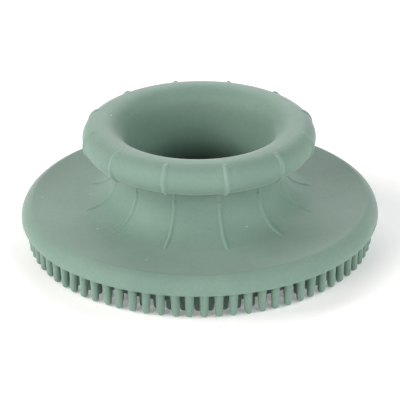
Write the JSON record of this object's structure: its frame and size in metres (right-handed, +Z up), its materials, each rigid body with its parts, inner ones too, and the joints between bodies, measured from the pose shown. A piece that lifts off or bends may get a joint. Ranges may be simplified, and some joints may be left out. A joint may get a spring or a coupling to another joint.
{
  "type": "curry comb",
  "caption": "Soft round curry comb: a ring grip on a hollow flared neck over a disc with a rounded rim, two staggered rows of rounded rubber fingers and a scraper wall.",
  "frame": {"origin": "centre of the circle that the finger tips stand on, at the surface it rests on", "axes": "+Z up along the comb's axis, from the fingers to the grip; -Y is the front, +X is to the right"},
  "size_m": [0.13, 0.13, 0.0453],
  "materials": {
    "silicone": "matte moulded silicone, sage green"
  },
  "bodies": {
    "base": {"base_disc": "silicone", "outer_rim": "silicone", "scraper_wall": "silicone", "outer_fingers": "silicone", "inner_fingers": "silicone", "neck_floor": "silicone", "neck_flare": "silicone", "neck_rib_01": "silicone", "neck_rib_02": "silicone", "neck_rib_03": "silicone", "neck_rib_04": "silicone", "neck_rib_05": "silicone", "neck_rib_06": "silicone", "neck_rib_07": "silicone", "neck_rib_08": "silicone", "neck_rib_09": "silicone", "neck_rib_10": "silicone", "neck_rib_11": "silicone", "neck_rib_12": "silicone"},
    "neck": {"neck_waist": "silicone", "waist_ribs": "silicone"},
    "grip": {"grip_ring": "silicone", "grip_rib_01": "silicone", "grip_rib_02": "silicone", "grip_rib_03": "silicone", "grip_rib_04": "silicone", "grip_rib_05": "silicone", "grip_rib_06": "silicone", "grip_rib_07": "silicone", "grip_rib_08": "silicone", "grip_rib_09": "silicone", "grip_rib_10": "silicone", "grip_rib_11": "silicone", "grip_rib_12": "silicone"}
  },
  "joints": [
    {"name": "grip_rock", "type": "hinge", "parent": "base", "child": "neck", "pos_m": [0, 0, 0.0205], "axis": [1, 0, 0], "range_deg": [-6, 6], "stiffness_Nm_per_rad": 4, "deforming": ["neck_flare", "neck_rib_01", "neck_rib_02", "neck_rib_03", "neck_rib_04", "neck_rib_05", "neck_rib_06", "neck_rib_07", "neck_rib_08", "neck_rib_09", "neck_rib_10", "neck_rib_11", "neck_rib_12"]},
    {"name": "grip_press", "type": "slide", "parent": "neck", "child": "grip", "axis": [0, 0, -1], "range_m": [0, 0.002], "stiffness_N_per_m": 8000, "deforming": ["neck_waist", "waist_ribs"]}
  ]
}
